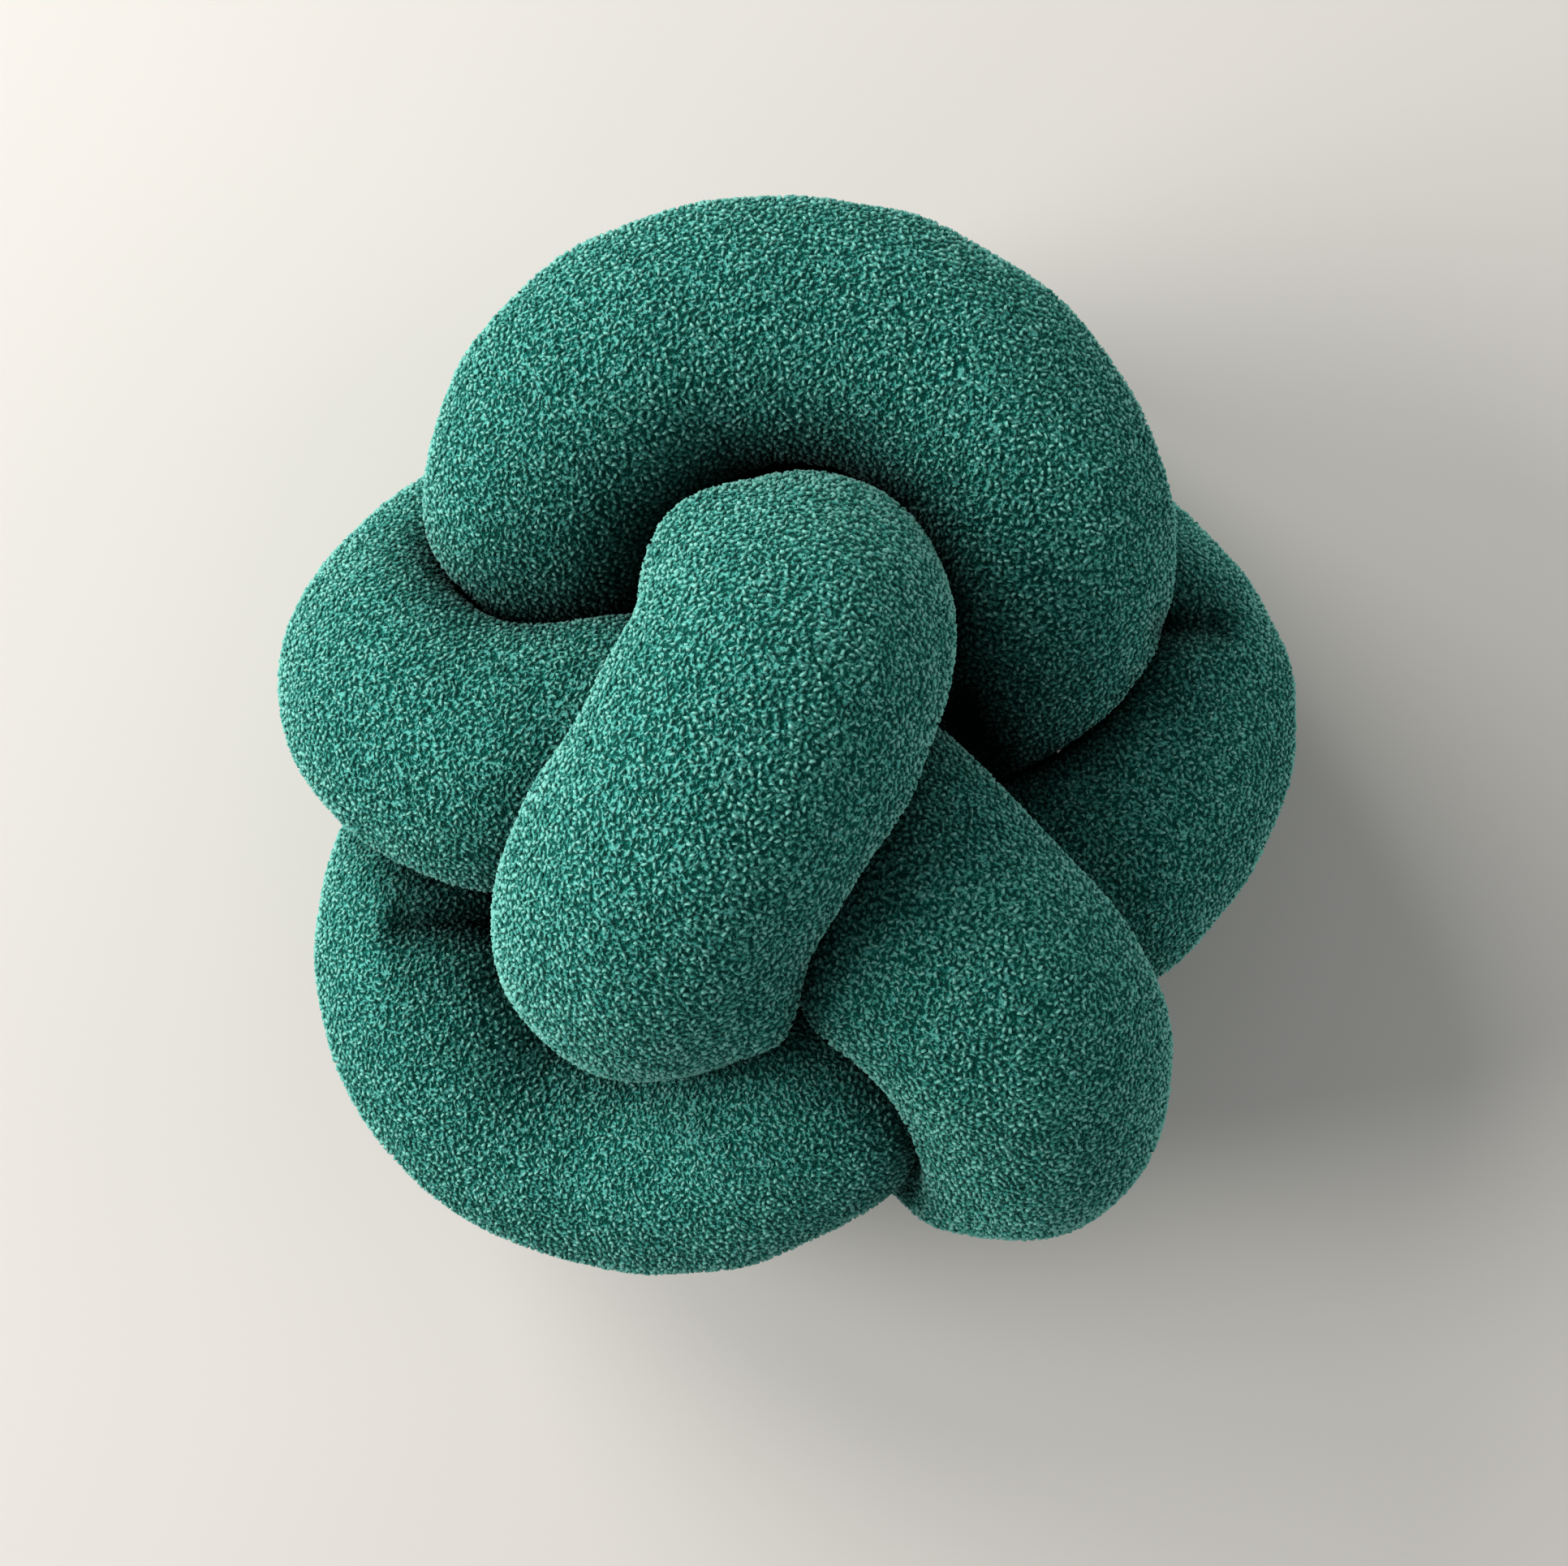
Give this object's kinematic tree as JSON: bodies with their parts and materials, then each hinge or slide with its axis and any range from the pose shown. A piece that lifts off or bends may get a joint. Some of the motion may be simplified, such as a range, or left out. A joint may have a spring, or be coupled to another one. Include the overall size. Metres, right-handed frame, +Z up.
{
  "type": "knot cushion",
  "caption": "Cushion made of a long stuffed tube of looped-pile cloth tied into a ball-like knot, with its ends tucked in.",
  "frame": {"origin": "middle of the knot's footprint, on the surface that it lies on", "axes": "+Z up, out of the knot's face, which the arch and the centre strand cross; the arch's crown points along +Y and the right lobe along +X"},
  "size_m": [0.3218, 0.3316, 0.2595],
  "materials": {
    "looped_pile_cloth": "deep green looped pile, soft and matte"
  },
  "bodies": {
    "root": {"knot_cushion": "looped_pile_cloth"}
  },
  "joints": []
}
